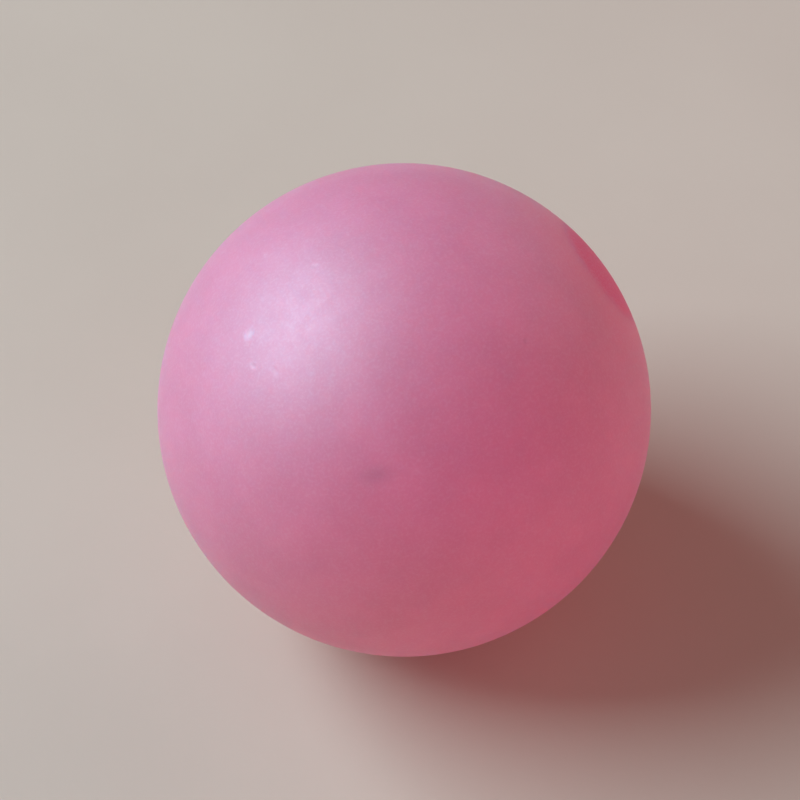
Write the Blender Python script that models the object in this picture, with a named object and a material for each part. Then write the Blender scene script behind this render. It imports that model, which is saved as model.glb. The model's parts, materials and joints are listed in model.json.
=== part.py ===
"""A 57 mm cue ball: translucent pink resin cast round a steel core, with one crimson spot.

The steel core makes up the ball's weight and lets a coin-operated table sort it by magnet. A resin
stem held the core at the centre of the mould while the body was poured round both. A crimson plug
closes the end of the stem's hole, flush with the playing surface. Every piece is round about one
line, the stem axis, which rises from level towards +X. The frame's origin is the ball's centre.
"""

import math

import bmesh
import bpy

MM = 0.001

# Driving dimensions
BALL_DIAMETER = 57.15 * MM
CORE_DIAMETER = 23.8 * MM
STEM_DIAMETER = 7.0 * MM
SPOT_DIAMETER = 12.7 * MM
SPOT_THICKNESS = 6.0 * MM  # at the middle of the plug, under the crown of its face
FIT_GAP = 0.3 * MM  # between pieces that touch
EDGE_CHAMFER = 0.5 * MM
STEM_RISE = math.radians(30)  # how far the stem axis rises above level

# How finely round surfaces are cut, joined and shaded
TURN_STEPS = 64
BALL_ARC_STEPS = 30
CAVITY_ARC_STEPS = 14
FACE_ARC_STEPS = 5
CUP_ARC_STEPS = 3
CORE_RINGS = 20
MERGE_DISTANCE = 0.001 * MM
SHARP_ANGLE = math.radians(30)

# Worked out from the driving dimensions; heights are along the stem axis, from the ball's centre
BALL_RADIUS = BALL_DIAMETER / 2
CORE_RADIUS = CORE_DIAMETER / 2
CAVITY_RADIUS = CORE_RADIUS + FIT_GAP
STEM_RADIUS = STEM_DIAMETER / 2
STEM_HOLE_RADIUS = STEM_RADIUS + FIT_GAP
SPOT_RADIUS = SPOT_DIAMETER / 2
POCKET_RADIUS = SPOT_RADIUS + FIT_GAP
PLUG_BASE_HEIGHT = BALL_RADIUS - SPOT_THICKNESS
POCKET_FLOOR_HEIGHT = PLUG_BASE_HEIGHT - FIT_GAP


def clear_scene():
    """Remove every object that is already there."""
    for old in list(bpy.data.objects):
        bpy.data.objects.remove(old, do_unlink=True)


def plain_material(name, colour, roughness, metallic=0.0):
    """A Principled BSDF with one linear colour, one roughness and one metallic value."""
    material = bpy.data.materials.new(name)
    material.use_nodes = True
    shader = material.node_tree.nodes["Principled BSDF"]
    shader.inputs["Base Color"].default_value = (*colour, 1.0)
    shader.inputs["Roughness"].default_value = roughness
    shader.inputs["Metallic"].default_value = metallic
    material.diffuse_color = (*colour, 1.0)
    return material


def pink_resin():
    return plain_material("pink_resin", (0.73, 0.13, 0.25), 0.6)


def crimson_resin():
    return plain_material("crimson_resin", (0.80, 0.02, 0.15), 0.6)


def amber_resin():
    return plain_material("amber_resin", (0.56, 0.36, 0.18), 0.5)


def polished_steel():
    return plain_material("polished_steel", (0.60, 0.60, 0.62), 0.15, metallic=1.0)


def arc(radius, start, end, steps):
    """Points (distance from the axis, height) on a circle about the ball's centre.

    start and end are angles from the spot's end of the stem axis.
    """
    points = []
    for step in range(steps + 1):
        angle = start + (end - start) * step / steps
        points.append((radius * math.sin(angle), radius * math.cos(angle)))
    return points


def edge_angle(distance, radius):
    """The angle at which a circle of this radius stands this distance from the axis."""
    return math.asin(distance / radius)


def finish_object(name, mesh_builder, material, stem_axis):
    """Turn a closed bmesh into a smooth-shaded object under the stem axis."""
    bmesh.ops.recalc_face_normals(mesh_builder, faces=mesh_builder.faces)
    mesh = bpy.data.meshes.new(name)
    mesh_builder.to_mesh(mesh)
    mesh_builder.free()
    mesh.shade_smooth()
    mesh.set_sharp_from_angle(angle=SHARP_ANGLE)
    mesh.materials.append(material)
    piece = bpy.data.objects.new(name, mesh)
    bpy.context.scene.collection.objects.link(piece)
    piece.parent = stem_axis
    return piece


def turned_piece(name, profile, material, stem_axis):
    """Spin a profile of (distance from the axis, height) about the stem axis.

    The profile runs from one point on the axis to another, so that the turned body is closed.
    """
    mesh_builder = bmesh.new()
    points = [mesh_builder.verts.new((distance, 0.0, height)) for distance, height in profile]
    edges = [mesh_builder.edges.new(pair) for pair in zip(points, points[1:])]
    bmesh.ops.spin(
        mesh_builder,
        geom=points + edges,
        cent=(0.0, 0.0, 0.0),
        axis=(0.0, 0.0, 1.0),
        angle=math.tau,
        steps=TURN_STEPS,
        use_merge=True,
    )
    bmesh.ops.remove_doubles(mesh_builder, verts=mesh_builder.verts, dist=MERGE_DISTANCE)
    return finish_object(name, mesh_builder, material, stem_axis)


def make_stem_axis():
    """The line that every piece is turned about: local Z, leaning from upright towards +X."""
    stem_axis = bpy.data.objects.new("stem_axis", None)
    bpy.context.scene.collection.objects.link(stem_axis)
    stem_axis.rotation_euler = (0.0, math.radians(90) - STEM_RISE, 0.0)
    return stem_axis


def make_resin_body(stem_axis):
    """The ball itself, with a round cavity, the stem's hole out of it and the plug's pocket."""
    cavity = arc(CAVITY_RADIUS, math.pi, edge_angle(STEM_HOLE_RADIUS, CAVITY_RADIUS), CAVITY_ARC_STEPS)
    pocket = [(STEM_HOLE_RADIUS, POCKET_FLOOR_HEIGHT), (POCKET_RADIUS, POCKET_FLOOR_HEIGHT)]
    outside = arc(BALL_RADIUS, edge_angle(POCKET_RADIUS, BALL_RADIUS), math.pi, BALL_ARC_STEPS)
    return turned_piece("resin_body", cavity + pocket + outside, pink_resin(), stem_axis)


def make_spot_plug(stem_axis):
    """The plug whose round end, part of the ball's own surface, is the spot."""
    face = arc(BALL_RADIUS, 0.0, edge_angle(SPOT_RADIUS, BALL_RADIUS), FACE_ARC_STEPS)
    base = [
        (SPOT_RADIUS, PLUG_BASE_HEIGHT + EDGE_CHAMFER),
        (SPOT_RADIUS - EDGE_CHAMFER, PLUG_BASE_HEIGHT),
        (0.0, PLUG_BASE_HEIGHT),
    ]
    return turned_piece("spot_plug", face + base, crimson_resin(), stem_axis)


def make_core_stem(stem_axis):
    """The rod between the core and the plug, cupped to sit on the core."""
    cup = arc(CAVITY_RADIUS, 0.0, edge_angle(STEM_RADIUS, CAVITY_RADIUS), CUP_ARC_STEPS)
    top = [
        (STEM_RADIUS, POCKET_FLOOR_HEIGHT - EDGE_CHAMFER),
        (STEM_RADIUS - EDGE_CHAMFER, POCKET_FLOOR_HEIGHT),
        (0.0, POCKET_FLOOR_HEIGHT),
    ]
    return turned_piece("core_stem", cup + top, amber_resin(), stem_axis)


def make_steel_core(stem_axis):
    """The steel ball at the centre."""
    mesh_builder = bmesh.new()
    bmesh.ops.create_uvsphere(
        mesh_builder, u_segments=2 * CORE_RINGS, v_segments=CORE_RINGS, radius=CORE_RADIUS
    )
    return finish_object("steel_core", mesh_builder, polished_steel(), stem_axis)


def main():
    clear_scene()
    stem_axis = make_stem_axis()
    make_resin_body(stem_axis)
    make_spot_plug(stem_axis)
    make_core_stem(stem_axis)
    make_steel_core(stem_axis)


main()
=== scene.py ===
"""Looks for the cue ball: satin, slightly translucent pink resin with a crimson spot, on a pale floor.

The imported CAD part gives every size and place. This script replaces the faceted body and plug with
finely cut ones that carry the worn surface: a slight orange peel, nicks, dings, a speck and a smudge.
The inner pieces keep their CAD shapes and get materials. Sizes are in metres unless a name says mm.
"""

import json
import math
import random

import bmesh
import bpy
from mathutils import Matrix, Vector, noise


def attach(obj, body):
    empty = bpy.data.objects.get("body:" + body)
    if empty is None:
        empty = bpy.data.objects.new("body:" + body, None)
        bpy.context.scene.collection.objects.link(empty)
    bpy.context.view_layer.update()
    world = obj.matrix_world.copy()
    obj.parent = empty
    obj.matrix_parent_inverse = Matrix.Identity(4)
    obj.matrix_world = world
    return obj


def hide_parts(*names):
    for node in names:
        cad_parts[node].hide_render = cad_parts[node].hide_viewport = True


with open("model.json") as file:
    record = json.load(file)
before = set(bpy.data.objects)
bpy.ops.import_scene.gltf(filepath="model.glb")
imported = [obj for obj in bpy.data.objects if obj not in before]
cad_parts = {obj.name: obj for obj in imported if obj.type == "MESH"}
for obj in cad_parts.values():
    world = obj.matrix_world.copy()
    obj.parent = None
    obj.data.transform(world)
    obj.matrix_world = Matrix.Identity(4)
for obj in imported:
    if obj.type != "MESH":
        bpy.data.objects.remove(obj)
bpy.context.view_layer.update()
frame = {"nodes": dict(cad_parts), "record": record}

MM = 0.001


# ---- What the frame says -------------------------------------------------------------------------

def node_points(node):
    return [vertex.co.copy() for vertex in frame["nodes"][node].data.vertices]


def stem_axis_direction():
    """The line every piece is turned about. The plug is even about it, so its mean point lies on it."""
    points = node_points("spot_plug")
    return (sum(points, Vector()) / len(points)).normalized()


def reach_from_axis(node):
    """How far a turned node reaches from the stem axis."""
    return max((point - point.project(STEM_AXIS)).length for point in node_points(node))


def heights(node):
    """The lowest and highest places of a node along the stem axis."""
    along = [point.dot(STEM_AXIS) for point in node_points(node)]
    return min(along), max(along)


STEM_AXIS = stem_axis_direction()
TO_STEM_AXIS = STEM_AXIS.to_track_quat("Z", "Y").to_matrix()
BALL_RADIUS = max(point.length for point in node_points("resin_body"))
CAVITY_RADIUS = min(point.length for point in node_points("resin_body"))
STEM_RADIUS = reach_from_axis("core_stem")
SPOT_RADIUS = reach_from_axis("spot_plug")
PLUG_BASE = heights("spot_plug")[0]
STEM_TOP = heights("core_stem")[1]
FIT_GAP = PLUG_BASE - STEM_TOP
TABLE_HEIGHT = frame["record"]["mounts"][0]["pos_m"][2]

OUTER_SKIN = 0.98 * BALL_RADIUS  # only the playing surface and its edges lie further out than this

# The visible joint between body and plug is a hairline in the middle of the CAD gap
HAIRLINE = 0.010 * MM
EDGE_ROUND = 0.025 * MM  # the radius of the small round edge on each side of the hairline
EDGE_STEPS = 3
POCKET_RADIUS = SPOT_RADIUS + (FIT_GAP + HAIRLINE) / 2
FACE_RADIUS = SPOT_RADIUS + (FIT_GAP - HAIRLINE) / 2


# ---- Meshes of rings about the stem axis -----------------------------------------------------------

FINE_EDGE = 0.47 * MM  # on the playing surface
COARSE_EDGE = 1.2 * MM  # inside the ball
FEWEST_IN_RING = 12
RING_SLACK = 1.4  # how much longer than asked the edges along a ring may be
ON_AXIS = 0.001 * MM  # a ring smaller than this is a single point


def ring_count(distance, edge):
    """Points in a ring at this distance from the axis: doubled from the fewest until edges are short."""
    count = FEWEST_IN_RING
    while math.tau * distance / count > RING_SLACK * edge:
        count *= 2
    return count


def angles_between(start, end, steps):
    return [start + (end - start) * step / steps for step in range(steps + 1)]


def arc(radius, start, end, edge):
    """(distance, height, edge) rings on a circle about the ball's centre, between angles from the axis."""
    steps = max(1, round(radius * abs(end - start) / edge))
    return [
        (radius * math.sin(angle), radius * math.cos(angle), edge)
        for angle in angles_between(start, end, steps)
    ]


def edge_height_and_lean(distance):
    """A round edge's centre height, just inside the surface, and the surface's angle from the axis there."""
    height = math.sqrt((BALL_RADIUS - EDGE_ROUND) ** 2 - distance**2)
    return height, math.atan2(distance, height)


def rounded_edge(centre_distance, centre_height, start, end):
    """Rings round a small edge, at angles measured from the axis direction towards outside."""
    return [
        (
            centre_distance + EDGE_ROUND * math.sin(angle),
            centre_height + EDGE_ROUND * math.cos(angle),
            FINE_EDGE,
        )
        for angle in angles_between(start, end, EDGE_STEPS)
    ]


def add_ring(mesh_builder, distance, height, edge):
    """One ring of points, or a single point on the axis."""
    if distance < ON_AXIS:
        return [mesh_builder.verts.new((0.0, 0.0, height))]
    count = ring_count(distance, edge)
    return [
        mesh_builder.verts.new((distance * math.cos(angle), distance * math.sin(angle), height))
        for angle in (math.tau * step / count for step in range(count))
    ]


def join_rings(mesh_builder, first, second):
    """Faces between two rings: four-sided where they have as many points, three-sided where not."""
    total_a = len(first)
    total_b = len(second)
    if total_a == total_b:
        for i in range(total_a):
            j = (i + 1) % total_a
            mesh_builder.faces.new((first[i], first[j], second[j], second[i]))
        return
    i = j = 0
    steps_a = 0 if total_a == 1 else total_a
    steps_b = 0 if total_b == 1 else total_b
    while i < steps_a or j < steps_b:
        next_a = (i + 0.5) / steps_a if i < steps_a else math.inf
        next_b = (j + 0.5) / steps_b if j < steps_b else math.inf
        point_a = first[i % total_a]
        point_b = second[j % total_b]
        if next_a <= next_b:
            mesh_builder.faces.new((point_a, first[(i + 1) % total_a], point_b))
            i += 1
        else:
            mesh_builder.faces.new((point_a, second[(j + 1) % total_b], point_b))
            j += 1


def turned_mesh(profile):
    """A closed mesh turned about the stem axis, from (distance, height, edge) rings, the end ones on it."""
    mesh_builder = bmesh.new()
    previous = None
    for distance, height, edge in profile:
        ring = add_ring(mesh_builder, distance, height, edge)
        if previous:
            join_rings(mesh_builder, previous, ring)
        previous = ring
    bmesh.ops.recalc_face_normals(mesh_builder, faces=mesh_builder.faces)
    mesh_builder.transform(TO_STEM_AXIS.to_4x4())
    return mesh_builder


def angle_from_axis(distance, radius):
    """Where a circle about the ball's centre is this far from the axis."""
    return math.asin(distance / radius)


def body_profile():
    """Cavity, stem hole and pocket as in the CAD body, then the pocket's edge and the playing surface."""
    hole_radius = STEM_RADIUS + FIT_GAP
    cavity = arc(CAVITY_RADIUS, math.pi, angle_from_axis(hole_radius, CAVITY_RADIUS), COARSE_EDGE)
    edge_distance = POCKET_RADIUS + EDGE_ROUND
    edge_height, lean = edge_height_and_lean(edge_distance)
    pocket = [
        (hole_radius, STEM_TOP, COARSE_EDGE),
        (POCKET_RADIUS, STEM_TOP, COARSE_EDGE),
        (POCKET_RADIUS, (STEM_TOP + edge_height) / 2, COARSE_EDGE),
    ]
    rim = rounded_edge(edge_distance, edge_height, -math.pi / 2, lean)
    outside = arc(BALL_RADIUS, lean, math.pi, FINE_EDGE)
    return cavity + pocket + rim + outside[1:]


def plug_profile():
    """The plug: its face is part of the ball's surface, its base stays a fit gap off the pocket's floor."""
    chamfer = FIT_GAP
    edge_distance = FACE_RADIUS - EDGE_ROUND
    edge_height, lean = edge_height_and_lean(edge_distance)
    face = arc(BALL_RADIUS, 0.0, lean, FINE_EDGE)
    rim = rounded_edge(edge_distance, edge_height, lean, math.pi / 2)
    base = [
        (FACE_RADIUS, (PLUG_BASE + edge_height) / 2, COARSE_EDGE),
        (FACE_RADIUS, PLUG_BASE + chamfer, COARSE_EDGE),
        (FACE_RADIUS - chamfer, PLUG_BASE, COARSE_EDGE),
        (FACE_RADIUS / 2, PLUG_BASE, COARSE_EDGE),
        (0.0, PLUG_BASE, COARSE_EDGE),
    ]
    return face[:-1] + rim + base


# ---- The worn surface ------------------------------------------------------------------------------

BLEED = 1.2 * MM  # how far the spot's dye has spread to each side of its edge
SPOT_SHADOW = 9 * MM  # how far from the spot the gap round its plug can be noticed, in the dimmer glow and in the painted redder pink that makes up for it

# The skin's own unevenness
WAVE_SIZE = 9.0 * MM
WAVE_HEIGHT = 0.004 * MM
PEEL_SIZE = 1.9 * MM
PEEL_HEIGHT = 0.0012 * MM
PEEL_SHIFT = Vector((7.0, 3.0, 1.0))  # keeps the peel from lining up with the waves

# A mark's shape and tint. Its middle counts as 0 and its edge as 1
PIT_FALL = 2.5  # how fast the pit gets shallower
LIP_HEIGHT = 0.35  # of the pit's depth
LIP_PLACE = 1.25
LIP_SPREAD = 0.35
TINT_FALL = 1.2  # how fast the white or dark colour fades
MARK_REACH = 1.6  # in lengths from the mark's middle: beyond this it is left out
MARK_CUTS = 2  # how many times an edge near a mark is cut

# The dings of play
DING_COUNT = 46
DING_SEED = 8
DING_LENGTHS_MM = (0.5, 1.4)
DING_WIDTHS = (0.45, 0.9)  # of the length
DING_DEPTHS_MM = (0.006, 0.025)
DING_SCUFFS = (0.0, 0.0, 0.08, 0.18)


def direction(azimuth, elevation):
    """A unit direction in the row frame, from degrees anticlockwise from +X and above level."""
    round_z = math.radians(azimuth)
    rise = math.radians(elevation)
    level = math.cos(rise)
    return Vector((math.cos(round_z) * level, math.sin(round_z) * level, math.sin(rise)))


class Mark:
    """A nick, ding or smear: an oval patch of the surface, with its depth and how white or dark it is."""

    def __init__(self, centre, length, width, turn, depth, scuff=0.0, smudge=0.0, lip=LIP_HEIGHT):
        self.centre = centre
        east = Vector((0.0, 0.0, 1.0)).cross(centre).normalized()
        north = centre.cross(east)
        self.along = east * math.cos(turn) + north * math.sin(turn)
        self.across = centre.cross(self.along)
        self.length = length
        self.width = width
        self.depth = depth
        self.scuff = scuff
        self.smudge = smudge
        self.lip = lip

    def touches(self, point):
        """Whether the mark changes the surface at this point."""
        reach = MARK_REACH * max(self.length, self.width)
        return (point - self.centre * BALL_RADIUS).length < reach

    def distance(self, point):
        """0 at the mark's middle, 1 at its edge."""
        offset = point.normalized() * BALL_RADIUS - self.centre * BALL_RADIUS
        return math.hypot(2 * offset.dot(self.along) / self.length, 2 * offset.dot(self.across) / self.width)

    def height(self, distance):
        """A round-bottomed pit with a low raised lip."""
        pit = -self.depth * math.exp(-PIT_FALL * distance**2)
        lip = self.lip * self.depth * math.exp(-((distance - LIP_PLACE) / LIP_SPREAD) ** 2)
        return pit + lip


def seen_marks():
    """The marks that can be seen on the ball's lit side: three nicks, a faint one, a speck and a smudge."""
    # Each has its place, length, width, turn and depth
    nicks = [
        Mark(direction(177, 51), 1.4 * MM, 1.1 * MM, math.radians(110), 0.070 * MM, scuff=0.8),
        Mark(direction(-172, 48), 1.0 * MM, 0.7 * MM, math.radians(20), 0.045 * MM, scuff=0.35),
        Mark(direction(-164, 51), 1.2 * MM, 0.7 * MM, math.radians(150), 0.040 * MM, scuff=0.4),
        Mark(direction(159, 70), 1.1 * MM, 0.7 * MM, math.radians(60), 0.025 * MM, scuff=0.25),
    ]
    speck = Mark(direction(-56, 57), 0.8 * MM, 0.5 * MM, math.radians(30), 0.02 * MM, smudge=0.5)
    smudge = Mark(direction(-121, 39), 3.8 * MM, 2.0 * MM, math.radians(15), 0.008 * MM, smudge=0.8, lip=0)
    return nicks + [speck, smudge]


def random_marks():
    """Small dings all over, as play leaves them: mostly faint, a few whitened."""
    rng = random.Random(DING_SEED)
    marks = []
    for _ in range(DING_COUNT):
        centre = direction(rng.uniform(-180, 180), math.degrees(math.asin(rng.uniform(-1, 1))))
        length = rng.uniform(*DING_LENGTHS_MM) * MM
        width = length * rng.uniform(*DING_WIDTHS)
        depth = rng.uniform(*DING_DEPTHS_MM) * MM
        scuff = rng.choice(DING_SCUFFS)
        marks.append(Mark(centre, length, width, rng.uniform(0, math.pi), depth, scuff=scuff))
    return marks


def refine_near_marks(mesh_builder, marks):
    """Cut the faces near each mark finely enough to shape it, with the new points on the ball's surface."""
    near = set()
    for face in mesh_builder.faces:
        middle = face.calc_center_median()
        if middle.length > OUTER_SKIN and any(mark.touches(middle) for mark in marks):
            near.update(face.edges)
    bmesh.ops.subdivide_edges(mesh_builder, edges=list(near), cuts=MARK_CUTS, use_grid_fill=True)
    many_sided = [face for face in mesh_builder.faces if len(face.verts) > 4]
    bmesh.ops.triangulate(mesh_builder, faces=many_sided)
    past_round_edge = 3 * EDGE_ROUND
    for vertex in mesh_builder.verts:
        if vertex.co.length > OUTER_SKIN and past_spot(vertex.co) > past_round_edge:
            vertex.co = vertex.co.normalized() * BALL_RADIUS


def peel(point):
    """Height of the satin skin's own unevenness: slow waves and a finer orange peel."""
    waves = noise.noise(point / WAVE_SIZE) * WAVE_HEIGHT
    skin = noise.noise(point / PEEL_SIZE + PEEL_SHIFT) * PEEL_HEIGHT
    return waves + skin


def past_spot(place):
    """How far along the surface this place lies outside the spot's edge."""
    return (place.angle(STEM_AXIS) - angle_from_axis(SPOT_RADIUS, BALL_RADIUS)) * BALL_RADIUS


def stain(place):
    """How much of the spot's dye is here: 1 in the spot, and fading out where it has bled past the edge."""
    return 0.5 - 0.5 * math.tanh(past_spot(place) / BLEED)


def depth(place):
    """0 in the spot to 1 well away from it: how deep a body of resin lies under this place. Where it is low,
    light spreads less far inside, and a painted redder pink makes up for the lost glow.
    """
    share = min(1.0, max(0.0, past_spot(place) / SPOT_SHADOW))
    return share * share * (3 - 2 * share)


def wear_surface(mesh_builder, marks):
    """Move the outer points by the peel and the marks, and store on each what the materials read there."""
    layers = [mesh_builder.verts.layers.float.new(name) for name in ("scuff", "smudge", "stain", "depth")]
    for vertex in mesh_builder.verts:
        if vertex.co.length < OUTER_SKIN:
            continue
        normal = vertex.co.normalized()
        height = peel(vertex.co)
        scuff = smudge = 0.0
        for mark in marks:
            if not mark.touches(vertex.co):
                continue
            distance = mark.distance(vertex.co)
            height += mark.height(distance)
            fade = math.exp(-TINT_FALL * distance**2)
            scuff = max(scuff, mark.scuff * fade)
            smudge = max(smudge, mark.smudge * fade)
        vertex.co += normal * height
        for layer, value in zip(layers, (scuff, smudge, stain(normal), depth(normal))):
            vertex[layer] = value


SHARP_ANGLE = math.radians(50)


def make_piece(name, mesh_builder, material):
    """An object of this mesh, smooth but for its sharp edges, in the scene."""
    mesh = bpy.data.meshes.new(name)
    mesh_builder.to_mesh(mesh)
    mesh_builder.free()
    mesh.shade_smooth()
    mesh.set_sharp_from_angle(angle=SHARP_ANGLE)
    mesh.materials.append(material)
    piece = bpy.data.objects.new(name, mesh)
    bpy.context.scene.collection.objects.link(piece)
    return piece


# ---- Materials -------------------------------------------------------------------------------------

NOISE_ROUGHNESS = 0.55

# The colour sockets of a Mix node, which also has others of the same names
MIX_FIRST = 6
MIX_SECOND = 7
MIX_RESULT = 2


class Nodes:
    """Short calls for building one material's node tree. Coordinates are in millimetres."""

    def __init__(self, name):
        self.material = bpy.data.materials.new(name)
        self.material.use_nodes = True
        self.tree = self.material.node_tree
        self.shader = self.tree.nodes["Principled BSDF"]
        place = self.tree.nodes.new("ShaderNodeTexCoord")
        scale = self.tree.nodes.new("ShaderNodeVectorMath")
        scale.operation = "SCALE"
        scale.inputs["Scale"].default_value = 1 / MM
        self.link(place.outputs["Object"], scale.inputs[0])
        self.millimetres = scale.outputs[0]

    def link(self, source, target):
        self.tree.links.new(source, target)

    def noise(self, size_mm, detail, stretch=(1, 1, 1), turn=(0, 0, 0), distortion=0.0):
        """Noise of features about size_mm across, optionally stretched along turned axes."""
        mapping = self.tree.nodes.new("ShaderNodeMapping")
        mapping.vector_type = "POINT"
        mapping.inputs["Rotation"].default_value = turn
        mapping.inputs["Scale"].default_value = stretch
        self.link(self.millimetres, mapping.inputs["Vector"])
        node = self.tree.nodes.new("ShaderNodeTexNoise")
        node.inputs["Scale"].default_value = 1 / size_mm
        node.inputs["Detail"].default_value = detail
        node.inputs["Roughness"].default_value = NOISE_ROUGHNESS
        node.inputs["Distortion"].default_value = distortion
        self.link(mapping.outputs["Vector"], node.inputs["Vector"])
        return node.outputs["Fac"]

    def band(self, value, low, high, to_low=0.0, to_high=1.0):
        """Map low..high to to_low..to_high, clamped, with a smooth step."""
        node = self.tree.nodes.new("ShaderNodeMapRange")
        node.interpolation_type = "SMOOTHSTEP"
        self.link(value, node.inputs["Value"])
        node.inputs["From Min"].default_value = low
        node.inputs["From Max"].default_value = high
        node.inputs["To Min"].default_value = to_low
        node.inputs["To Max"].default_value = to_high
        return node.outputs["Result"]

    def math(self, operation, first, second):
        """Work out one value from two, each a socket or a number."""
        node = self.tree.nodes.new("ShaderNodeMath")
        node.operation = operation
        for socket, value in zip(node.inputs, (first, second)):
            if isinstance(value, (int, float)):
                socket.default_value = value
            else:
                self.link(value, socket)
        return node.outputs[0]

    def mix(self, factor, first, second):
        """Mix two colours, each a socket or a linear colour."""
        node = self.tree.nodes.new("ShaderNodeMix")
        node.data_type = "RGBA"
        self.link(factor, node.inputs["Factor"])
        for socket, value in ((node.inputs[MIX_FIRST], first), (node.inputs[MIX_SECOND], second)):
            if isinstance(value, tuple):
                socket.default_value = (*value, 1.0)
            else:
                self.link(value, socket)
        return node.outputs[MIX_RESULT]

    def attribute(self, name):
        """A value that wear_surface stored on the mesh, or 0 where it stored none."""
        node = self.tree.nodes.new("ShaderNodeAttribute")
        node.attribute_name = name
        return node.outputs["Fac"]

    def bump(self, height, distance_mm, under=None):
        """Bumps of this height, on top of others if there are any under them."""
        node = self.tree.nodes.new("ShaderNodeBump")
        node.inputs["Strength"].default_value = 1.0
        node.inputs["Distance"].default_value = distance_mm * MM
        self.link(height, node.inputs["Height"])
        if under is not None:
            self.link(under, node.inputs["Normal"])
        return node.outputs["Normal"]

    def set(self, socket, value):
        """Give one of the shader's sockets a fixed value."""
        self.shader.inputs[socket].default_value = value

    def drive(self, socket, source):
        """Let a node's output give one of the shader's sockets its value."""
        self.link(source, self.shader.inputs[socket])


# Linear colours: the deeper and lighter tints of a resin, and its chalky scuffs
PINK = (0.71, 0.125, 0.240), (0.75, 0.140, 0.260), (0.86, 0.52, 0.64)
AMBER = (0.50, 0.30, 0.13), (0.62, 0.42, 0.22), (0.80, 0.70, 0.52)
CRIMSON = (0.85, 0.004, 0.155)
PAINTED_GLOW_PINK = (0.84, 0.118, 0.240)  # painted glow: a redder pink beside the spot stands in for the red light from inside that the gap round the plug holds back
GRIME = (0.46, 0.05, 0.13)
STEEL = (0.56, 0.56, 0.58), (0.64, 0.64, 0.66)

# How strongly each of these covers the resin's own colour
GRAIN_COVER = 0.13
SCUFF_COVER = 0.8
SMUDGE_COVER = 0.5

SHEEN_IOR = 1.8  # the rubbed skin shines more broadly and strongly than bare resin
COAT_ROUGHNESS = 0.71
SPOT_COAT = 0.1  # how much of the coat is left over the dye
DIFFUSE_ROUGHNESS = 0.4
GLOW_SHARES = (1.0, 0.08, 0.12)  # how far red, green and blue light spread inside, next to red
DEEP_GLOW = 14.0 * MM  # how far red light spreads inside the ball
SHALLOW_GLOW = 0.8 * MM  # and in and beside the spot, where the gap round the plug stops it

# The skin's finest texture: heights in millimetres, and what it adds to the roughness
SKIN_MM = 0.014
TOOTH_MM = 0.006
SCRATCH_MM = -0.001
DULLER_BY_SCRATCH = 0.04
DULLER_BY_SCUFF = 0.12


def resin_colour(nodes, deep, light, chalk, haze, dye):
    """Cloudy resin, the spot's dye with a painted redder glow beside it, a fine pale grain, a chalky haze,
    scuffs and smudges.
    """
    clouds = nodes.band(nodes.noise(7.5, detail=4), 0.35, 0.65)
    colour = nodes.mix(clouds, deep, light)
    if dye:
        # Painted glow: beside the spot the colour gives way to a redder pink, standing in for the red light
        # from inside that the gap round the plug holds back
        colour = nodes.mix(nodes.attribute("depth"), PAINTED_GLOW_PINK, colour)
        colour = nodes.mix(nodes.attribute("stain"), colour, dye)
    grain = nodes.band(nodes.noise(0.30, detail=2), 0.40, 0.75, to_high=GRAIN_COVER)
    colour = nodes.mix(grain, colour, chalk)
    bloom = nodes.band(nodes.noise(2.6, detail=5, distortion=0.6), 0.45, 0.75, to_high=haze)
    colour = nodes.mix(bloom, colour, chalk)
    scuffed = nodes.math("MULTIPLY", nodes.attribute("scuff"), SCUFF_COVER)
    colour = nodes.mix(scuffed, colour, chalk)
    smudged = nodes.math("MULTIPLY", nodes.attribute("smudge"), SMUDGE_COVER)
    return nodes.mix(smudged, colour, GRIME)


def rub_skin(nodes, roughness):
    """Satin roughness and bumps: an uneven skin with a fine tooth, crossed by faint scratches."""
    scratch_sets = [
        nodes.noise(0.3, detail=1, stretch=(0.04, 1.6, 1.6), turn=(0.3, 0.5, 0.9)),
        nodes.noise(0.3, detail=1, stretch=(1.6, 0.04, 1.6), turn=(0.7, 0.2, -0.5)),
    ]
    scratches = nodes.math("MAXIMUM", *(nodes.band(lines, 0.70, 0.78) for lines in scratch_sets))
    rough = nodes.band(nodes.noise(1.4, detail=4), 0.3, 0.7, roughness - 0.02, roughness + 0.03)
    rough = nodes.math("ADD", rough, nodes.math("MULTIPLY", scratches, DULLER_BY_SCRATCH))
    rough = nodes.math("ADD", rough, nodes.math("MULTIPLY", nodes.attribute("scuff"), DULLER_BY_SCUFF))
    nodes.drive("Roughness", rough)
    skin = nodes.bump(nodes.noise(0.55, detail=3), SKIN_MM)
    tooth = nodes.bump(nodes.noise(0.14, detail=2), TOOTH_MM, under=skin)
    nodes.drive("Normal", nodes.bump(scratches, SCRATCH_MM, under=tooth))


def resin(name, deep, light, chalk, roughness, haze, translucence, dye=None):
    """Cast resin with a rubbed satin skin, which light enters and leaves again some way off."""
    nodes = Nodes(name)
    nodes.drive("Base Color", resin_colour(nodes, deep, light, chalk, haze, dye))
    rub_skin(nodes, roughness)
    nodes.set("IOR", SHEEN_IOR)
    nodes.set("Specular IOR Level", 1.0)
    nodes.drive("Coat Weight", nodes.band(nodes.attribute("stain"), 0.0, 1.0, 1.0, SPOT_COAT))
    nodes.set("Coat Roughness", COAT_ROUGHNESS)
    nodes.set("Diffuse Roughness", DIFFUSE_ROUGHNESS)
    nodes.set("Subsurface Weight", translucence)
    nodes.set("Subsurface Radius", GLOW_SHARES)
    glow = nodes.band(nodes.attribute("depth"), 0.0, 1.0, SHALLOW_GLOW, DEEP_GLOW)
    nodes.drive("Subsurface Scale", glow)
    return nodes.material


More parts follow.
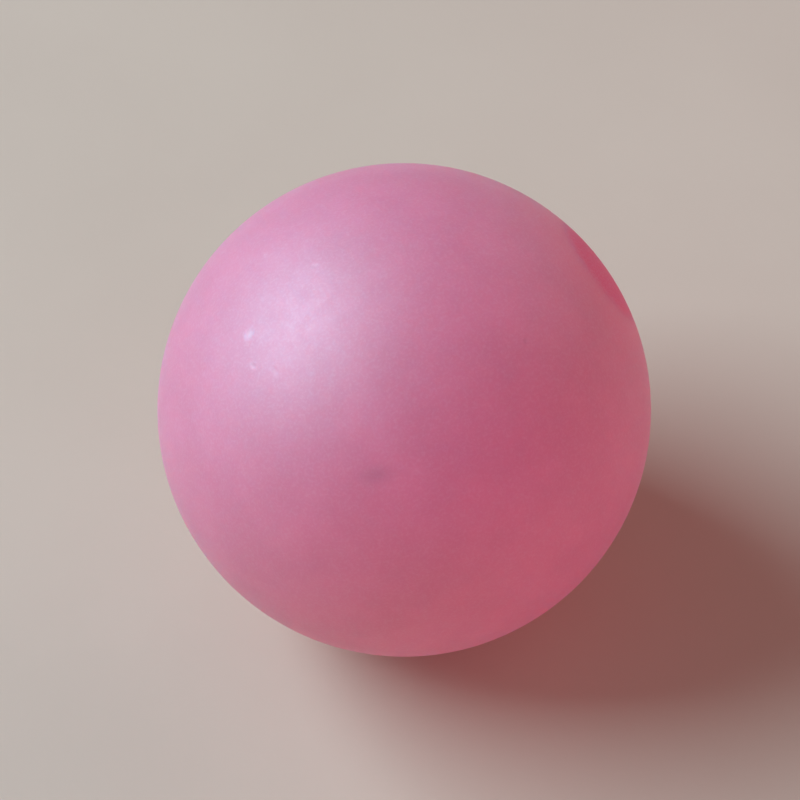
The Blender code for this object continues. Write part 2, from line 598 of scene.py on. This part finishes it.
def ball_resin(name):
    """The body and the plug share this: where it is pink and where it is crimson is stored on the mesh."""
    return resin(name, *PINK, roughness=0.63, haze=0.03, translucence=1.0, dye=CRIMSON)


def amber_resin():
    return resin("stem_resin", *AMBER, roughness=0.50, haze=0.08, translucence=0.4)


def polished_steel():
    """A bearing ball: bright, with faint lapping marks and a few dull patches."""
    nodes = Nodes("core_steel")
    tone = nodes.band(nodes.noise(6.0, detail=3), 0.3, 0.7)
    nodes.drive("Base Color", nodes.mix(tone, *STEEL))
    lapping = nodes.noise(0.4, detail=2, stretch=(0.08, 1.5, 1.5), turn=(0.4, 0.1, 0.7))
    dull = nodes.band(nodes.noise(3.0, detail=4), 0.45, 0.75, to_low=0.12, to_high=0.26)
    nodes.drive("Roughness", nodes.math("ADD", dull, nodes.math("MULTIPLY", lapping, 0.05)))
    nodes.drive("Normal", nodes.bump(lapping, 0.001))
    nodes.set("Metallic", 1.0)
    return nodes.material


# ---- The pieces ------------------------------------------------------------------------------------

def make_body(marks):
    mesh_builder = turned_mesh(body_profile())
    refine_near_marks(mesh_builder, marks)
    wear_surface(mesh_builder, marks)
    body = make_piece("ball_body", mesh_builder, ball_resin("ball_resin"))
    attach(body, "root")
    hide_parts("resin_body")


def make_spot(marks):
    mesh_builder = turned_mesh(plug_profile())
    wear_surface(mesh_builder, marks)
    spot = make_piece("spot_inlay", mesh_builder, ball_resin("spot_resin"))
    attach(spot, "root")
    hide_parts("spot_plug")


def dress_inner_pieces():
    """The inner CAD nodes keep their shapes and get materials."""
    for node, material in (("core_stem", amber_resin()), ("steel_core", polished_steel())):
        mesh = frame["nodes"][node].data
        mesh.materials.clear()
        mesh.materials.append(material)


# ---- The stage -------------------------------------------------------------------------------------

CAMERA_AZIMUTH = -23.1  # degrees anticlockwise from the -Y side
CAMERA_ELEVATION = 53.3  # degrees above level
CAMERA_DISTANCE = 12 * BALL_RADIUS
SENSOR_WIDTH_MM = 36.0
BALL_SHARE = 0.617  # of the picture's width that the ball takes up
AIM_RIGHT = -0.017 * BALL_RADIUS  # where the camera looks, to the right of the ball's centre
AIM_UP = 0.040 * BALL_RADIUS  # and above it, in the view

FLOOR_SIZE = 6.0
FLOOR_COLOURS = (0.66, 0.455, 0.342), (0.68, 0.473, 0.356)
ROOM_COLOUR = (1.0, 0.85, 0.80, 1.0)
ROOM_STRENGTH = 0.15
BACKDROP_COLOUR = (0.52, 0.47, 0.45, 1.0)
LAMP_DISTANCE = 2.4


def view_axes(azimuth, elevation):
    """Directions towards the viewer, to the viewer's right and up in the view."""
    round_z = math.radians(azimuth)
    rise = math.radians(elevation)
    level = math.cos(rise)
    back = Vector((math.sin(round_z) * level, -math.cos(round_z) * level, math.sin(rise)))
    right = Vector((math.cos(round_z), math.sin(round_z), 0.0))
    return back, right, back.cross(right)


def make_camera():
    back, right, up = view_axes(CAMERA_AZIMUTH, CAMERA_ELEVATION)
    camera = bpy.data.objects.new("camera", bpy.data.cameras.new("camera"))
    bpy.context.scene.collection.objects.link(camera)
    place = back * CAMERA_DISTANCE + (right * AIM_RIGHT + up * AIM_UP)
    turn = Matrix((right, up, back)).transposed().to_quaternion()
    camera.matrix_world = Matrix.LocRotScale(place, turn, None)
    outline_tangent = BALL_RADIUS / math.sqrt(CAMERA_DISTANCE**2 - BALL_RADIUS**2)
    camera.data.sensor_width = SENSOR_WIDTH_MM
    camera.data.lens = SENSOR_WIDTH_MM * BALL_SHARE / 2 / outline_tangent
    bpy.context.scene.camera = camera


def floor_material():
    """Pale, warm and matt, with clouds too faint to be a pattern."""
    nodes = Nodes("floor_pale")
    clouds = nodes.band(nodes.noise(60.0, detail=4), 0.35, 0.65)
    nodes.drive("Base Color", nodes.mix(clouds, *FLOOR_COLOURS))
    nodes.drive("Normal", nodes.bump(nodes.noise(1.5, detail=4), 0.02))
    nodes.set("Roughness", 0.6)
    return nodes.material


def make_floor():
    mesh_builder = bmesh.new()
    bmesh.ops.create_grid(mesh_builder, x_segments=1, y_segments=1, size=FLOOR_SIZE / 2)
    floor = make_piece("floor", mesh_builder, floor_material())
    floor.location.z = TABLE_HEIGHT


def make_light(name, towards, width, height, watts, colour):
    """A soft rectangular lamp that shines on the ball from this direction. The camera can't see it."""
    data = bpy.data.lights.new(name, "AREA")
    data.shape = "RECTANGLE"
    data.size = width
    data.size_y = height
    data.energy = watts
    data.color = colour
    lamp = bpy.data.objects.new(name, data)
    bpy.context.scene.collection.objects.link(lamp)
    lamp.location = towards * LAMP_DISTANCE
    lamp.rotation_euler = towards.to_track_quat("Z", "Y").to_euler()
    lamp.visible_camera = False


def make_room():
    """A faint warm light from all round, and a plain pale backdrop behind the far edge of the floor."""
    world = bpy.data.worlds.new("room")
    world.use_nodes = True
    tree = world.node_tree
    faint = tree.nodes["Background"]
    faint.inputs["Color"].default_value = ROOM_COLOUR
    faint.inputs["Strength"].default_value = ROOM_STRENGTH
    backdrop = tree.nodes.new("ShaderNodeBackground")
    backdrop.inputs["Color"].default_value = BACKDROP_COLOUR
    path = tree.nodes.new("ShaderNodeLightPath")
    mix = tree.nodes.new("ShaderNodeMixShader")
    tree.links.new(path.outputs["Is Camera Ray"], mix.inputs[0])
    tree.links.new(faint.outputs[0], mix.inputs[1])
    tree.links.new(backdrop.outputs[0], mix.inputs[2])
    tree.links.new(mix.outputs[0], tree.nodes["World Output"].inputs["Surface"])
    bpy.context.scene.world = world


def make_lights():
    """Cool window light from the left of the view, and warm light back from the room on the other sides."""
    make_light("window", direction(143, 44), width=1.90, height=0.90, watts=88, colour=(0.51, 0.79, 0.97))
    make_light("window_low", direction(160, 14), width=1.60, height=0.64, watts=7, colour=(0.25, 0.83, 1.0))
    make_light("fill_right", direction(10, 25), width=3.60, height=1.60, watts=15, colour=(1.0, 0.68, 0.78))
    make_light("fill_front", direction(-80, 10), width=4.80, height=0.80, watts=23, colour=(1.0, 0.28, 0.62))
    bpy.context.scene.view_settings.view_transform = "Standard"


# ---- Put together ----------------------------------------------------------------------------------

def main():
    marks = seen_marks() + random_marks()
    make_body(marks)
    make_spot(marks)
    dress_inner_pieces()
    make_floor()
    make_room()
    make_lights()
    make_camera()


main()
